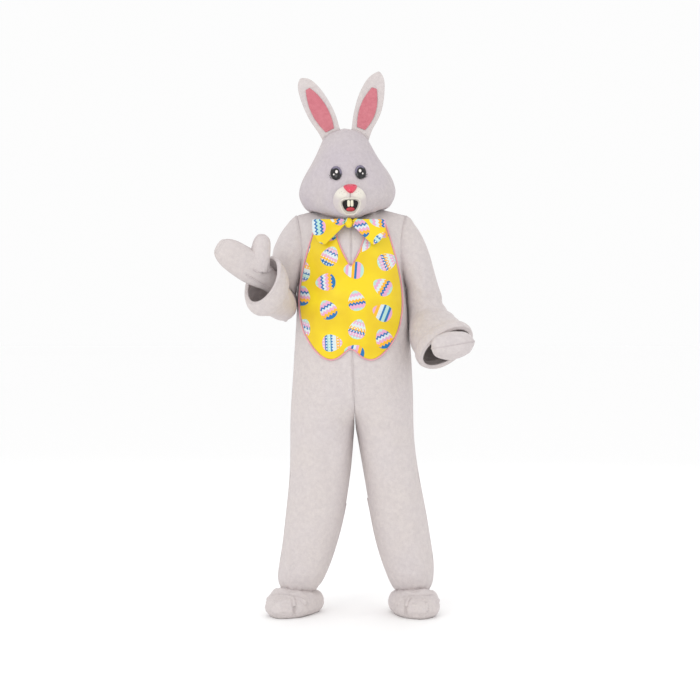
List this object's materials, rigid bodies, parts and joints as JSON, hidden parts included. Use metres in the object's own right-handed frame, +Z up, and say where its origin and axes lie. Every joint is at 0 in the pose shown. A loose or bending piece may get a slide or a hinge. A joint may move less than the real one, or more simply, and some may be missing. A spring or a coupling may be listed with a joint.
{
  "type": "rabbit mascot costume",
  "caption": "Hollow plush rabbit costume in its worn pose: jumpsuit, mascot head with upright ears, mittens, foot covers, satin vest front and bow tie.",
  "frame": {"origin": "middle of the neck at the height of the wearer's shoulders, 1.46 m above the soles", "axes": "+Z up, the costume faces -Y and its own left side is at +X"},
  "size_m": [0.9339, 0.5474, 2.0269],
  "materials": {
    "white_plush": "long soft pile",
    "cream_plush": "short soft pile",
    "pink_plush": "short soft pile",
    "yellow_satin": "printed satin",
    "pink_piping": "satin cord",
    "glossy_nose": "glossy",
    "black_eye": "glossy",
    "black_felt": "felt",
    "ivory_felt": "felt",
    "red_felt": "felt",
    "sole_fabric": "woven",
    "zip_tape": "woven",
    "zip_metal": "plain"
  },
  "bodies": {
    "costume": {"suit_front_left": "white_plush", "suit_front_right": "white_plush", "suit_back_left": "white_plush", "suit_back_right": "white_plush", "sleeve_left": "white_plush", "sleeve_right": "white_plush", "cuff_left": "white_plush", "cuff_right": "white_plush", "head_front": "white_plush", "head_back": "white_plush", "ear_left": "white_plush", "ear_right": "white_plush", "mitten_left_palm": "white_plush", "mitten_left_back": "white_plush", "mitten_right_palm": "white_plush", "mitten_right_back": "white_plush", "foot_left": "white_plush", "foot_right": "white_plush", "muzzle": "cream_plush", "lip": "cream_plush", "ear_left_inner": "pink_plush", "ear_right_inner": "pink_plush", "vest_front": "yellow_satin", "bow_left": "yellow_satin", "bow_right": "yellow_satin", "bow_knot": "yellow_satin", "vest_piping": "pink_piping", "nose": "glossy_nose", "eye_left": "black_eye", "eye_right": "black_eye", "mouth": "black_felt", "tooth_left": "ivory_felt", "tooth_right": "ivory_felt", "tongue": "red_felt", "sole_left": "sole_fabric", "sole_right": "sole_fabric", "zip_tape": "zip_tape", "zip_slider": "zip_metal"},
    "pull_tab": {"zip_pull": "zip_metal"}
  },
  "joints": [
    {"name": "pull_tab_hinge", "type": "hinge", "parent": "costume", "child": "pull_tab", "pos_m": [0, 0.12771, -0.04684], "axis": [1, 0, 0], "range_deg": [0, 170]}
  ]
}
